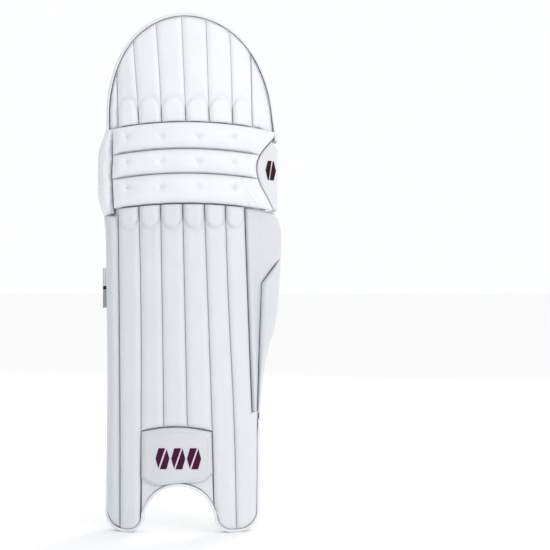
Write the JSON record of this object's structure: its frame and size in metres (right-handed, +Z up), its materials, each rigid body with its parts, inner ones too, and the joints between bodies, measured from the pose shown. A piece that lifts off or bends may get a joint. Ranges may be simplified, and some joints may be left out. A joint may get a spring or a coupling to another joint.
{
  "type": "cricket leg pad",
  "caption": "Padded leg guard with a domed top, a rolled knee, a channelled shin and a side wing, closed by webbing straps across the back.",
  "frame": {"origin": "middle of the pad's box at the floor it stands on", "axes": "+Z up the leg, -Y out of the pad's front face, +Y towards the leg, +X towards the wing side"},
  "size_m": [0.262, 0.1134, 0.727],
  "materials": {
    "white_facing": "satin",
    "cushion_cloth": "matte",
    "air_mesh": "matte",
    "lining": "matte",
    "webbing": "matte",
    "hook_and_loop": "matte",
    "ring_plastic": "gloss",
    "tag": "satin",
    "thread": "matte",
    "cane": "satin"
  },
  "bodies": {
    "shin": {"shin_roll_1": "white_facing", "shin_roll_2": "white_facing", "shin_roll_3": "white_facing", "shin_roll_4": "white_facing", "shin_roll_5": "white_facing", "shin_roll_6": "white_facing", "shin_side_roll": "white_facing", "wing_panel": "white_facing", "wing_roll": "white_facing", "shin_canes": "cane", "shin_board": "lining", "instep_patch": "white_facing", "lobe_bindings": "white_facing", "arch_binding": "white_facing", "instep_gussets": "white_facing", "wing_cushion": "cushion_cloth", "centre_cushion": "cushion_cloth", "inner_cushion": "cushion_cloth", "outer_instep_cushion": "air_mesh", "centre_instep_cushion": "air_mesh", "inner_instep_cushion": "air_mesh", "ankle_strap_base": "webbing", "ankle_ring_tab": "webbing", "calf_strap_base": "webbing", "calf_ring_tab": "webbing", "shin_rings": "ring_plastic", "shin_loop_patches": "hook_and_loop"},
    "knee": {"upper_bolster": "white_facing", "middle_bolster": "white_facing", "lower_bolster": "white_facing", "knee_side_roll": "white_facing", "knee_side_panel": "white_facing", "knee_board": "lining", "tufting_tacks": "thread", "outer_knee_cup": "cushion_cloth", "inner_knee_cup": "cushion_cloth", "knee_cradle": "white_facing", "knee_strap_base": "webbing", "knee_ring_tab": "webbing", "knee_ring": "ring_plastic", "knee_loop_patch": "hook_and_loop"},
    "top_hat": {"top_roll_1": "white_facing", "top_roll_2": "white_facing", "top_roll_3": "white_facing", "top_roll_4": "white_facing", "top_roll_5": "white_facing", "top_roll_6": "white_facing", "top_side_roll": "white_facing", "top_wing_panel": "white_facing", "top_board": "lining", "top_back_panel": "white_facing", "top_binding": "white_facing"},
    "ankle_tail": {"ankle_strap_tail": "webbing", "ankle_hook_patch": "hook_and_loop"},
    "calf_tail": {"calf_strap_tail": "webbing", "calf_hook_patch": "hook_and_loop", "strap_tag": "tag"},
    "knee_tail": {"knee_strap_tail": "webbing", "knee_hook_patch": "hook_and_loop"}
  },
  "joints": [
    {"name": "knee_flex", "type": "hinge", "parent": "shin", "child": "knee", "pos_m": [0, 0.04761, 0.456], "axis": [-1, 0, 0], "range_deg": [0, 10]},
    {"name": "top_hat_flex", "type": "hinge", "parent": "knee", "child": "top_hat", "pos_m": [0, 0.04761, 0.57], "axis": [-1, 0, 0], "range_deg": [0, 10]},
    {"name": "ankle_strap_peel", "type": "hinge", "parent": "shin", "child": "ankle_tail", "pos_m": [0.077, 0.02661, 0.171], "axis": [-0.075, 0, -0.9972], "range_deg": [0, 140]},
    {"name": "calf_strap_peel", "type": "hinge", "parent": "shin", "child": "calf_tail", "pos_m": [0.1, 0.05062, 0.3425], "axis": [0, 0, -1], "range_deg": [0, 140]},
    {"name": "knee_strap_peel", "type": "hinge", "parent": "knee", "child": "knee_tail", "pos_m": [0.105, 0.04562, 0.47], "axis": [0, 0, -1], "range_deg": [0, 140]}
  ]
}
